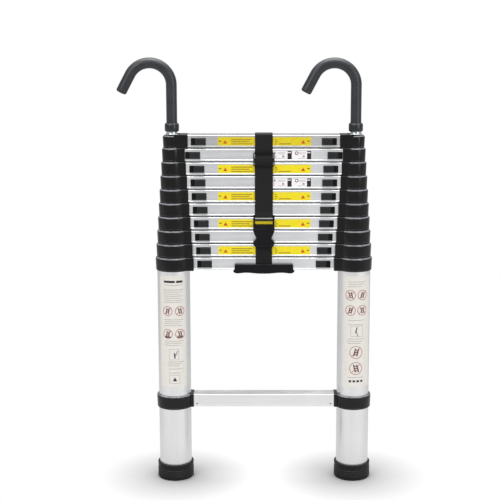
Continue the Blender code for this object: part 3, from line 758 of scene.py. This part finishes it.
def build_hook(side):
    """The bent tube with its closed end, the ferrule at its foot, and the chrome socket below."""
    node = "hook_" + side
    bend = high(node).z - HOOK_TUBE - HOOK_RADIUS
    place_at = (AXIS_X[side], 0.0, 0.0)
    start = HOOK_SEAT + 7.7 * MM
    path = [(0.0, 0.0, start + (bend - start) * step / 8) for step in range(8)]
    for step in range(37):
        turn = HOOK_TURN * step / 36
        path.append((HOOK_RADIUS * (math.cos(turn) - 1), 0.0, bend + HOOK_RADIUS * math.sin(turn)))
    down = Vector((-math.sin(HOOK_TURN), 0.0, math.cos(HOOK_TURN)))
    last = Vector(path[-1])
    path += [tuple(last + down * (HOOK_TAIL - HOOK_DOME) * step / 4) for step in (1, 2, 3, 4)]
    radii = [HOOK_TUBE] * len(path)
    tip = Vector(path[-1])
    for step in range(1, 8):
        turn = math.radians(90 * step / 7.5)
        path.append(tuple(tip + down * HOOK_DOME * math.sin(turn)))
        radii.append(HOOK_TUBE - HOOK_DOME + HOOK_DOME * math.cos(turn))
    place(new_piece("hook_tube_" + side, swept(path, radii), place_at), COATED, node, "coated_tube", node)

    inner = HOOK_TUBE / MM - 0.5
    foot = (low(node).z - HOOK_SEAT) / MM
    ferrule = [(inner, 7.7), (12.4, 7.7), *arc(12.4, 10.1, 2.4, -90, -20, 4), (15.0, 12.0), (15.0, 20.0),
               *arc(12.4, 22.4, 2.4, 20, 90, 4), (12.2, 25.9), (inner, 25.9)]
    socket = [(11.6, 7.6), (11.6, 5.2), *arc(15.9, 5.2, 4.3, 180, 255, 5), (16.5, 0.6), (16.2, 0.0),
              (13.8, 0.0), (13.8, foot + 1.5), (12.5, foot)]
    for name, profile, looped, material, slot in (("ferrule", ferrule, True, FERRULE, "coated_tube"),
                                                  ("socket", socket, False, CHROME, "bright_metal")):
        shape = turned([(r * MM, HOOK_SEAT + z * MM) for r, z in profile], 64, looped)
        place(new_piece("hook_%s_%s" % (name, side), shape, place_at), material, node, slot)


# ---------------------------------------------------------------- strap, buckle and handle

TOP_BODY = body_of_rung(RUNG_COUNT)
BUCKLE_WIDTH = 44.5 * MM
UPPER_WIDTH = 36.8 * MM
DOUBLE_WIDTH = 37.6 * MM
LOWER_WIDTH = 34.5 * MM
WEB = 1.3 * MM
BUCKLE_BACK = -RUNG_HALF_DEPTH - 0.6 * MM
BUCKLE_DEPTH = 8.6 * MM
BUCKLE_Y = BUCKLE_BACK - 4.35 * MM
SLIDER_Z = 0.695
BAR_Z = high("buckle_male").z - 2.2 * MM
SPLIT_Z = 0.5485            # where the buckle's two halves meet
HANDLE_Z = 0.4636


def smooth_path(*points):
    """Points along straight runs of (y, z), close enough together to bend and shade evenly."""
    path = []
    for first, second in zip(points, points[1:]):
        first, second = Vector(first), Vector(second)
        count = max(1, round((second - first).length / (2.0 * MM)))
        path += [tuple(first.lerp(second, i / count)) for i in range(count)]
    return path + [points[-1]]


def webbing(name, path, widths, body, *nodes):
    """Webbing along (y, z) points at its middle, with one width for each point and round selvedges."""
    rings = []
    columns, edge = 10, WEB / 2
    for i, (y, z) in enumerate(path):
        before, after = path[max(i - 1, 0)], path[min(i + 1, len(path) - 1)]
        along = Vector((after[0] - before[0], after[1] - before[1])).normalized()
        half = widths[i] / 2
        across = [(2 * half - 2 * edge) * k / columns for k in range(columns + 1)]
        section = [(-half + edge + x, edge) for x in across] + [(half, 0.45 * edge), (half, -0.45 * edge)]
        section += [(half - edge - x, -edge) for x in across] + [(-half, -0.45 * edge), (-half, 0.45 * edge)]
        rings.append([(x, y + along.y * depth, z - along.x * depth) for x, depth in section])
    place(new_piece(name, skin(rings), (MIDDLE_X, 0.0, 0.0)), WEBBING, body, "webbing", *nodes)


def build_strap():
    """One length of webbing: from the slider up over the top rung and down behind the stack."""
    over = high("rung_11").z + 0.9 * MM + WEB / 2
    turn = 3.0 * MM
    front = -RUNG_HALF_DEPTH - 0.9 * MM - WEB / 2
    bar = front - 3.4 * MM
    path = smooth_path((front - 1.3 * MM, BAR_Z + 3.0 * MM), (front - 1.3 * MM, SLIDER_Z - 14.0 * MM),
                       (front - 1.8 * MM, SLIDER_Z - 8.0 * MM), (bar, SLIDER_Z - 3.4 * MM),
                       (bar, SLIDER_Z + 3.4 * MM), (front - 0.6 * MM, SLIDER_Z + 9.0 * MM),
                       (front, SLIDER_Z + 15.0 * MM), (front, over - turn))[:-1]
    path += arc(front + turn, over - turn, turn, 180, 90)
    path += smooth_path((front + turn + MM, over), (-front - turn - MM, over))
    path += arc(-front - turn, over - turn, turn, 90, 0)
    path += smooth_path((-front, over - turn - MM), (-front, low("strap").z))
    widths = [DOUBLE_WIDTH if z < SLIDER_Z and y < 0 else UPPER_WIDTH for y, z in path]
    webbing("strap_webbing", path, widths, TOP_BODY, "strap")

    path = smooth_path((front, SLIDER_Z - 5.0 * MM), (front, BAR_Z + 5.0 * MM))
    webbing("strap_inner_layer", path, [DOUBLE_WIDTH] * len(path), TOP_BODY)

    wrap_radius = 1.4 * MM + WEB / 2
    bar_y = BUCKLE_BACK - 2.1 * MM
    path = smooth_path((front - 1.2 * MM, BAR_Z + 9.0 * MM), (bar_y - wrap_radius * 0.9, BAR_Z + 2.4 * MM))
    path += arc(bar_y, BAR_Z, wrap_radius, 150, 350, 14)
    webbing("strap_loop", path, [DOUBLE_WIDTH - 1.0 * MM] * len(path), TOP_BODY)


def build_slider():
    """The three-bar slider that sets the strap's length."""
    wide, tall, corner = 22.0 * MM, 16.3 * MM, 4.2 * MM
    quarter = [(wide - corner, tall), (wide, tall - corner)]
    half = quarter + [(x, -z) for x, z in reversed(quarter)]
    opening, top, bottom = 20.3 * MM, 12.4 * MM, 2.2 * MM
    slider = plate("strap_slider", half + [(-x, z) for x, z in reversed(half)], 3.6 * MM, 0.7 * MM,
                   (MIDDLE_X, BUCKLE_BACK - 3.0 * MM, SLIDER_Z),
                   [(-opening, bottom, opening, top), (-opening, -top, opening, -bottom)])
    place(slider, ACETAL, TOP_BODY, "acetal")


def build_buckle():
    """The side-release buckle: a ladder-lock half above and the socket half below."""
    half = BUCKLE_WIDTH / 2
    top = high("buckle_male").z
    middle = (top + SPLIT_Z) / 2
    tall = (top - SPLIT_Z) / 2
    corner, opening = 0.9 * MM, 18.8 * MM
    upper = plate("buckle_upper", [(half - corner, tall), (half, tall - corner), (half, -tall), (-half, -tall),
                                   (-half, tall - corner), (-half + corner, tall)], BUCKLE_DEPTH, 0.9 * MM,
                  (MIDDLE_X, BUCKLE_Y, middle),
                  [(-opening, bottom - middle, opening, level - middle)
                   for bottom, level in ((0.5690, 0.5727), (0.5590, 0.5655))])
    cut(upper, slab((-0.1, -6.0 * MM, 0.5585 - middle), (0.1, 2.8 * MM, tall + MM)))
    tongue = low("buckle_male").z + 0.5 * MM - middle
    join(upper, slab((-11.5 * MM, -1.8 * MM, tongue), (11.5 * MM, 1.8 * MM, -tall + MM), 0.8 * MM, 2))
    place(upper, ACETAL, TOP_BODY, "acetal", "buckle_male")

    side = [(half - inset * MM, level) for inset, level in (
        (0.0, SPLIT_Z), (0.2, 0.5452), (1.6, 0.5405), (4.0, 0.5345), (5.9, 0.5308), (6.2, 0.5287),
        (5.2, 0.5269), (2.0, 0.5240), (0.2, 0.5216), (0.0, 0.5202), (0.6, 0.5166), (2.0, 0.5133),
        (3.2, 0.5110))]
    middle = (side[0][1] + side[-1][1]) / 2
    outline = [(x, z - middle) for x, z in side + [(-x, z) for x, z in reversed(side)]]
    lower = plate("buckle_lower", outline, BUCKLE_DEPTH, 1.2 * MM, (MIDDLE_X, BUCKLE_Y, middle))
    reach = SPLIT_Z - middle
    cut(lower, slab((-12.4 * MM, -2.2 * MM, reach - 19.5 * MM), (12.4 * MM, 2.2 * MM, reach + MM)))
    for sign in (-1.0, 1.0):
        cut(lower, slab((sign * 9.8 * MM, -6.0 * MM, -reach + 3.0 * MM),
                        (sign * 10.6 * MM, -3.9 * MM, reach - 2.5 * MM)))
    cut(lower, slab((-9.0 * MM, -6.0 * MM, -reach + 6.2 * MM), (9.0 * MM, -4.0 * MM, -reach + 6.9 * MM)))
    place(lower, ACETAL, "base_section", "acetal")


def build_handle():
    """The carrying handle below the stack, its webbing, and the plate that it turns up behind."""
    side = [(60.5, 10.0), (61.2, 9.2), (61.6, 2.0), (62.2, -2.4), (65.0, -3.8), (64.4, -5.4), (61.8, -8.0),
            (58.5, -9.2), (54.0, -9.4), (48.0, -8.6), (40.0, -7.9), (31.0, -8.0), (22.0, -8.9), (12.0, -9.7)]
    outline = [(x * MM, z * MM) for x, z in side + [(0.0, -10.0)] + [(-x, z) for x, z in reversed(side)]]
    handle = plate("carry_handle", outline, 6.6 * MM, 1.5 * MM,
                   (MIDDLE_X, BUCKLE_BACK - 1.4 * MM - 3.3 * MM, HANDLE_Z))
    for bottom, top in ((5.6, 6.4), (-5.2, -4.4)):
        cut(handle, slab((-57.0 * MM, -6.0 * MM, bottom * MM), (57.0 * MM, -2.9 * MM, top * MM)))
    place(handle, ACETAL, "base_section", "acetal", "strap_handle")

    rear = high("strap_handle").y - WEB / 2
    front = BUCKLE_BACK - WEB / 2 - 0.05 * MM
    under = low("rung_02").z - 0.7 * MM - WEB / 2
    turn = 2.2 * MM
    path = smooth_path((front, 0.5118), (front, under + turn))[:-1]
    path += arc(front + turn, under + turn, turn, 180, 270)
    path += smooth_path((front + turn + MM, under), (rear - turn - MM, under))
    path += arc(rear - turn, under + turn, turn, 270, 360)
    path += smooth_path((rear, under + turn + MM), (rear, high("rung_02").z - 1.0 * MM))
    webbing("handle_webbing", path, [LOWER_WIDTH] * len(path), "base_section")


# ---------------------------------------------------------------- printed labels

# Printed shapes are asked for in millimetres and come as (points, faces) in metres.

def metres(*sizes):
    return [size * MM for size in sizes]


def strip(starts, ends):
    """The quads between two rows of points."""
    points = [point for pair in zip(starts, ends) for point in pair]
    return points, [(2 * i, 2 * i + 2, 2 * i + 3, 2 * i + 1) for i in range(len(starts) - 1)]


def rectangle(low_u, low_v, high_u, high_v):
    low_u, low_v, high_u, high_v = metres(low_u, low_v, high_u, high_v)
    count = max(1, round((high_u - low_u) / (3.0 * MM)))
    across = [low_u + (high_u - low_u) * i / count for i in range(count + 1)]
    return strip([(u, low_v) for u in across], [(u, high_v) for u in across])


def ring(centre_u, centre_v, outer, inner):
    centre_u, centre_v, outer, inner = metres(centre_u, centre_v, outer, inner)
    points, faces = [], []
    count = 36
    for i, turn in enumerate(turns_of(count)):
        points += [(centre_u + radius * math.cos(turn), centre_v + radius * math.sin(turn))
                   for radius in (inner, outer)]
        after = (i + 1) % count
        faces.append((2 * i, 2 * i + 1, 2 * after + 1, 2 * after))
    return points, faces


def triangle(centre_u, centre_v, half_width, height):
    """A triangle that stands on its base, in narrow columns so that it can bend round a leg."""
    centre_u, centre_v, half_width, height = metres(centre_u, centre_v, half_width, height)
    columns = 6
    base = centre_v - height / 2
    points = [(centre_u - half_width, base)]
    for i in range(1, columns):
        across = 2 * i / columns - 1
        u = centre_u + across * half_width
        points += [(u, base), (u, base + height * (1 - abs(across)))]
    points.append((centre_u + half_width, base))
    faces = [(0, 1, 2)] + [(2 * i - 1, 2 * i + 1, 2 * i + 2, 2 * i) for i in range(1, columns - 1)]
    return points, faces + [(2 * columns - 3, 2 * columns - 1, 2 * columns - 2)]


def slanted(centre_u, centre_v, length, thickness, degrees):
    """A bar at an angle, in short lengths so that it can bend round a leg."""
    centre_u, centre_v, length, thickness = metres(centre_u, centre_v, length, thickness)
    cos, sin = math.cos(math.radians(degrees)), math.sin(math.radians(degrees))
    count = max(1, math.ceil(length / (2.5 * MM)))
    rows = []
    for across in (-thickness / 2, thickness / 2):
        lengths = (length * (i / count - 0.5) for i in range(count + 1))
        rows.append([(centre_u + along * cos - across * sin, centre_v + along * sin + across * cos)
                     for along in lengths])
    return strip(*rows)


def printed_piece(name, shapes, lay, thickness):
    """Flat shapes given a little thickness: lay(u, v, depth) says where a printed point goes."""
    shape = bmesh.new()
    for points, faces in shapes:
        lower = [shape.verts.new(lay(u, v, 0.0)) for u, v in points]
        upper = [shape.verts.new(lay(u, v, thickness)) for u, v in points]
        edges = [edge for face in faces for edge in zip(face, face[1:] + face[:1])]
        for face in faces:
            shape.faces.new([lower[i] for i in reversed(face)])
            shape.faces.new([upper[i] for i in face])
        for first, second in edges:
            if (second, first) not in edges:
                shape.faces.new((lower[first], lower[second], upper[second], upper[first]))
    return new_piece(name, shape)


PRINT = 0.12 * MM           # thickness of a label, and of the ink on it
INK = 0.05 * MM
LABEL_HALF = 8.8            # half the height of a rung's label, in mm


def rung_print(rung, name, shapes, material, over_label=True):
    """Printed shapes on a rung's front panel, in (x, z) from the middle of that panel."""
    depth = -RUNG_HALF_DEPTH + PANEL_SINK - (PRINT if over_label else 0.0)
    level = rung_level(rung) - 0.25 * MM
    piece = printed_piece(name, shapes, lambda u, v, d: (MIDDLE_X + u, depth - d, level + v),
                          INK if over_label else PRINT)
    place(piece, material, body_of_rung(rung), "label")


def build_yellow_label(rung):
    """A yellow strip with bars for its text, a warning triangle near each end and a small dash."""
    name = "yellow_label_%02d" % rung
    # The top rung's label takes the darker yellow: painted shade.
    paper = SHADED_TOP_YELLOW if rung == RUNG_COUNT else YELLOW
    rung_print(rung, name, [rectangle(-95.6, -LABEL_HALF, 98.0, LABEL_HALF)], paper, over_label=False)
    bars = [rectangle(left, level - 1.05, right, level + 1.05) for level, left, right in (
        (3.8, -68.0, -24.5), (-0.6, -68.0, -30.0), (-5.2, -68.0, -23.5), (-5.2, 31.0, 56.0), (3.4, 23.5, 27.0),
        (-0.8, 23.5, 29.0), (-5.2, 23.5, 27.5))]
    rung_print(rung, name + "_text", bars, OCHRE_INK)
    signs = [triangle(middle, -0.9, 4.4, 7.6) for middle in (-80.2, 81.8)]
    rung_print(rung, name + "_signs", signs, ORANGE_INK)
    dashes = [rectangle(-94.0, -0.4, -88.6, 1.5), rectangle(90.2, -0.4, 95.4, 1.5)]
    rung_print(rung, name + "_dashes", dashes, BROWN_INK)


def build_white_label(rung):
    """A white strip with a small cross, a ring, black blocks and bars for its text."""
    name = "white_label_%02d" % rung
    rung_print(rung, name, [rectangle(16.5, -LABEL_HALF, 99.4, LABEL_HALF)], WHITE, over_label=False)
    rising, falling = (slanted(22.6, 4.6, 4.4, 1.1, turn) for turn in (45, -45))
    rung_print(rung, name + "_signs", [rising, ring(68.2, 4.2, 3.7, 2.2)], BROWN_INK)
    rung_print(rung, name + "_cross", [falling], BROWN_INK)
    blocks = []
    for middle in (53.6, 94.2):
        left, inner, right = middle - 4.4, middle + 2.6, middle + 4.4
        blocks += [rectangle(left, -8.6, right, 4.4), rectangle(inner, 4.4, right, LABEL_HALF),
                   rectangle(left, 6.4, inner, LABEL_HALF)]
    rung_print(rung, name + "_block", blocks, BLACK_INK)
    bars = []
    for middle in (37.0, 79.5):
        bars += [rectangle(middle - reach, level - 0.4, middle + reach, level + 0.4)
                 for level, reach in ((5.2, 8.5), (2.6, 7.0), (-6.6, 8.0))]
        bars.append(rectangle(middle + 1.0, -4.6, middle + 5.4, -0.6))
    rung_print(rung, name + "_text", bars, GREY_INK)


def leg_print(side, name, shapes, material, over_label=True):
    """Printed shapes wrapped round a leg, in (arc length, height) from its front and the floor."""
    radius = tube_radius(1)
    surface = radius + (PRINT if over_label else 0.0)

    def lay(u, v, depth):
        reach = surface + depth
        return (AXIS_X[side] + reach * math.sin(u / radius), -reach * math.cos(u / radius), v)

    piece = printed_piece(name, shapes, lay, INK if over_label else PRINT)
    place(piece, material, "base_section", "label")


def ladder_sign(middle, level, size, lean):
    """A little leaning ladder: two rails and three rungs."""
    turn = math.radians(lean)
    rails = [slanted(middle + across * size, level, size, 0.15 * size, lean) for across in (-0.2, 0.2)]
    return rails + [slanted(middle + along * size * math.cos(turn), level + along * size * math.sin(turn),
                            0.4 * size, 0.11 * size, 0) for along in (-0.3, 0.0, 0.3)]


def frame_lines(low_u, low_v, high_u, high_v):
    """The four thin sides of a printed box."""
    line = 0.7
    return [rectangle(low_u, low_v, high_u, low_v + line), rectangle(low_u, high_v - line, high_u, high_v),
            rectangle(low_u, low_v + line, low_u + line, high_v - line),
            rectangle(high_u - line, low_v + line, high_u, high_v - line)]


def text_lines(middle, top, count, reach, pitch=4.5):
    """Ragged bars that stand for lines of text, from the top one down."""
    bars = []
    for step in range(count):
        level = top - pitch * step
        short = reach - (step * 7 % 5) * 2.2
        bars.append(rectangle(middle - reach, level - 0.5, middle + short, level + 0.5))
    return bars


def build_leg_label(side):
    """The cream instruction label wrapped round a leg, with rings for its pictograms."""
    radius = tube_radius(1) / MM
    start, end = (math.radians(edge) * radius for edge in ((-51.0, 50.0) if side == "left" else (-44.0, 67.0)))
    name = "leg_label_" + side
    leg_print(side, name, [rectangle(start, 209.0, end, 451.0)], CREAM, over_label=False)
    rings, bars, marks, signs = [], [], [], []

    def sign_in_ring(middle, level, outer, lean):
        rings.append(ring(middle, level, outer, outer - 1.3))
        rings.append(slanted(middle, level, 2 * (outer - 1.6), 1.2, 45))
        signs.extend(ladder_sign(middle + 0.4 * lean / 90, level, 1.25 * outer, lean))

    if side == "left":
        middle = (start + end) / 2 + 1.8
        marks += [rectangle(middle - 21.0, 436.0, middle + 3.0, 440.6),
                  rectangle(middle + 6.0, 436.0, middle + 20.0, 440.6)]
        bars += text_lines(middle, 431.0, 1, 20.0) + text_lines(middle, 421.0, 7, 22.0)
        for across, lean in ((-13.3, 80), (13.3, 105)):
            sign_in_ring(middle + across, 375.0, 10.6, lean)
            sign_in_ring(middle + across, 325.4, 10.6, lean)
            marks.append(rectangle(middle + across - 6.0, 317.0, middle + across + 6.0, 320.0))
        bars += text_lines(middle, 356.4, 4, 21.0, 4.3) + text_lines(middle, 309.9, 3, 21.0)
        bars += frame_lines(middle - 11.0, 268.7, middle + 10.0, 292.5)
        marks += [slanted(middle + 1.0, 278.0, 12.0, 2.6, 95), slanted(middle + 4.5, 282.0, 13.0, 1.4, 65)]
        bars += text_lines(middle + 3.0, 264.4, 3, 17.0, 4.4) + text_lines(middle + 3.0, 249.0, 2, 15.0, 9.0)
        bars += frame_lines(middle - 11.0, 216.8, middle + 12.0, 235.2)
        marks.append(triangle(middle + 1.0, 226.2, 4.6, 8.6))
    else:
        middle = (start + end) / 2 - 3.0
        bars += text_lines(middle + 1.0, 438.0, 3, 19.0, 5.0)
        for across, lean in ((-13.0, 105), (13.0, 75)):
            sign_in_ring(middle + across, 409.4, 11.2, lean)
            sign_in_ring(middle + across, 376.5, 11.2, 180 - lean)
        bars += text_lines(middle, 355.3, 2, 18.0, 9.5)
        bars += frame_lines(middle - 12.0, 319.8, middle + 14.0, 343.4)
        marks += [slanted(middle, 334.0, 13.0, 2.2, 75), slanted(middle + 2.0, 325.0, 11.0, 1.3, 110)]
        bars += text_lines(middle, 314.5, 3, 19.0, 4.8)
        sign_in_ring(middle, 285.4, 14.0, 75)
        sign_in_ring(middle, 250.1, 14.0, 105)
        bars += text_lines(middle, 230.4, 1, 17.0)
        for edge in (middle - 15.0 + 8.4 * step for step in range(4)):
            marks.append(rectangle(edge, 219.5, edge + 5.4, 224.2))
    for kind, shapes, ink in (("_rings", rings, RED_INK), ("_text", bars, GREY_INK),
                              ("_marks", marks, BLACK_INK), ("_signs", signs, BROWN_INK)):
        leg_print(side, name + kind, shapes, ink)


# ---------------------------------------------------------------- staging

SHADOW_START = 0.035        # where, from a foot's middle, the floor starts to fade to white
SHADOW_END = 0.160
FLOOR_FRONT = 1.04          # how bright the floor is to everything but the camera
FLOOR_FAR = 0.62
FLOOR_BACK = 0.60
ROOM_FRONT = 0.50           # and the room, level with the eye and overhead
ROOM_BACK = 0.38
ROOM_CEILING = 2.4
ROOM_ZENITH = 5.0
WHITE_LIGHT = (1.0, 1.0, 1.0)


def build_camera():
    data = bpy.data.cameras.new("camera")
    data.sensor_width = 36.0
    data.lens = 88.61
    data.shift_x = -0.0272
    data.shift_y = -0.06
    camera = bpy.data.objects.new("camera", data)
    camera.location = (0.191, -2.558, 1.004)
    camera.rotation_euler = (math.radians(90 - 9.75), 0.0, 0.0)
    bpy.context.scene.collection.objects.link(camera)
    bpy.context.scene.camera = camera


def build_light(name, location, size, energy):
    """An area light aimed at the middle of the object."""
    data = bpy.data.lights.new(name, "AREA")
    data.shape = "RECTANGLE"
    data.size, data.size_y = size
    data.energy = energy
    light = bpy.data.objects.new(name, data)
    light.location = location
    light.rotation_euler = (Vector((MIDDLE_X, 0.0, 0.45)) - light.location).to_track_quat("-Z", "Y").to_euler()
    bpy.context.scene.collection.objects.link(light)


def build_floor():
    """A pale floor that grows white a little way from each foot, so that it meets the white surround.

    What the object's metal sees of the floor is brightest just in front of the feet.
    """
    shape = bmesh.new()
    bmesh.ops.create_circle(shape, cap_ends=True, segments=96, radius=14.0)
    floor = new_piece("floor", shape, (MIDDLE_X, 0.0, 0.0))
    nodes = Nodes("studio_floor")
    either_side = nodes.vectors("ABSOLUTE", "Vector", nodes.coordinates)
    foot = Vector((MIDDLE_X - AXIS_X["left"], 0.0, 0.0))
    distance = nodes.vectors("DISTANCE", "Value", either_side, foot)
    far = nodes.spread(distance, 0.0, 1.0, SHADOW_START, SHADOW_END)
    depth = nodes.along("Y", nodes.coordinates)
    reflected = nodes.maths("MINIMUM", nodes.spread(depth, FLOOR_FAR, FLOOR_FRONT, -1.7, -0.7),
                            nodes.spread(depth, FLOOR_FRONT, FLOOR_BACK, -0.5, 0.8))
    white = nodes.add("ShaderNodeEmission")
    nodes.wire(nodes.maths("MAXIMUM", reflected, nodes.seen_by_camera()), white.inputs["Strength"])
    nodes.mix_surface(far, nodes.shader, white)
    floor.data.materials.append(nodes.finished((0.27, 0.27, 0.27), 0.75, specular=0.15))


def build_world():
    """White to the camera; for light and reflections, a room with a bright ceiling."""
    nodes = Nodes("studio", "worlds")
    bpy.context.scene.world = nodes.owner
    direction = nodes.add("ShaderNodeTexCoord").outputs["Generated"]
    strength = nodes.spread(nodes.along("Y", direction), ROOM_FRONT, ROOM_BACK, -1.0, 1.0)
    for near, far, most in ((0.55, 0.85, ROOM_CEILING), (0.86, 0.98, ROOM_ZENITH)):
        strength = nodes.maths("ADD", strength, nodes.spread(nodes.along("Z", direction), 0.0, most, near, far))
    room = nodes.add("ShaderNodeBackground", WHITE_LIGHT, strength)
    white = nodes.add("ShaderNodeBackground", WHITE_LIGHT, 1.0)
    nodes.mix_surface(nodes.seen_by_camera(), room, white)


# ---------------------------------------------------------------- assembly

for side in SIDES:
    build_foot(side)
    build_clamp(side)
    for section in range(1, SECTION_COUNT + 1):
        build_collar(section, side)
        build_tube(section, side)
    build_hook(side)
    build_leg_label(side)
for number in range(1, RUNG_COUNT + 1):
    build_rung(number)
build_latches()
build_strap()
build_slider()
build_buckle()
build_handle()
for number in (3, 5, 7, 9, 11):
    build_yellow_label(number)
for number in (8, 10):
    build_white_label(number)
build_floor()
build_world()
build_light("key", (-1.4, -2.2, 1.9), (1.2, 1.6), 20.0)
build_light("fill", (2.2, -2.0, 1.2), (1.0, 1.6), 16.0)
build_light("rear", (0.8, 2.6, 2.6), (1.6, 1.2), 3.0)
build_camera()
bpy.context.scene.view_settings.view_transform = "Standard"
